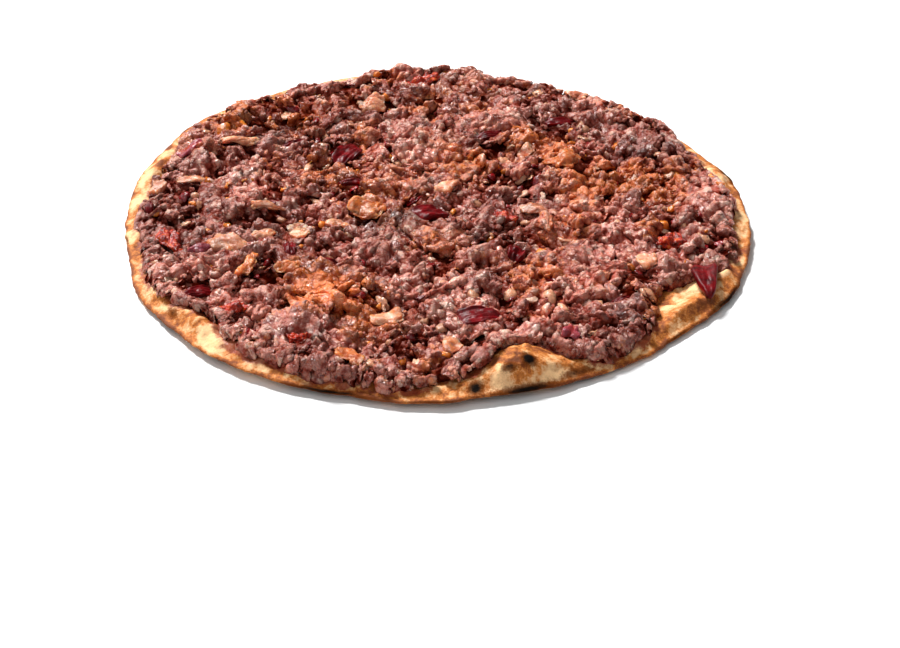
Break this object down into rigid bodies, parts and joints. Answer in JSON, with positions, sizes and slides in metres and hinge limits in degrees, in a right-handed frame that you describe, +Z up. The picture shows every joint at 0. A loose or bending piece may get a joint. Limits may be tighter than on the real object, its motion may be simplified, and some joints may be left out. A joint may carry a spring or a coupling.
{
  "type": "lahmacun",
  "caption": "Whole round lahmacun: a thin flatbread with a wavy, blistered rim under a nubbly spread of cooked minced meat with pieces of pepper, tomato and onion; it is served flat.",
  "frame": {"origin": "on the table, under the middle of the bread", "axes": "+Z up out of the meat, -Y towards the eater, whose side has the big blister of the rim"},
  "size_m": [0.2818, 0.28, 0.0167],
  "materials": {
    "dough": "baked dough: cream to golden, toasted brown on the rim, charred black on blisters",
    "meat": "cooked minced meat: mauve brown, nubbly, moist, browned on its high places",
    "pepper": "roasted red pepper: dark red, wrinkled and glossy",
    "tomato": "cooked tomato: orange red, soft and wet",
    "onion": "cooked onion: translucent beige to golden or stained pink, glossy",
    "fat": "pale bits of fat in the meat, moist",
    "juices": "orange red cooking juices, thin and wet"
  },
  "bodies": {
    "root": {"bread": "dough", "meat": "meat", "pepper_1": "pepper", "pepper_2": "pepper", "pepper_3": "pepper", "pepper_4": "pepper", "pepper_5": "pepper", "pepper_6": "pepper", "pepper_7": "pepper", "pepper_8": "pepper", "pepper_9": "pepper", "pepper_10": "pepper", "pepper_11": "pepper", "pepper_12": "pepper", "pepper_13": "pepper", "pepper_14": "pepper", "tomato_1": "tomato", "tomato_2": "tomato", "tomato_3": "tomato", "tomato_4": "tomato", "tomato_5": "tomato", "tomato_6": "tomato", "onion_1": "onion", "onion_2": "onion", "onion_3": "onion", "onion_4": "onion", "onion_5": "onion", "onion_6": "onion", "onion_7": "onion", "onion_8": "onion", "onion_9": "onion", "onion_10": "onion", "onion_11": "onion", "onion_12": "onion", "onion_13": "onion", "onion_14": "onion", "onion_15": "onion", "onion_16": "onion", "onion_17": "onion", "onion_18": "onion", "onion_19": "onion", "onion_20": "onion", "onion_21": "onion", "onion_22": "onion", "onion_23": "onion", "onion_24": "onion"}
  },
  "joints": []
}
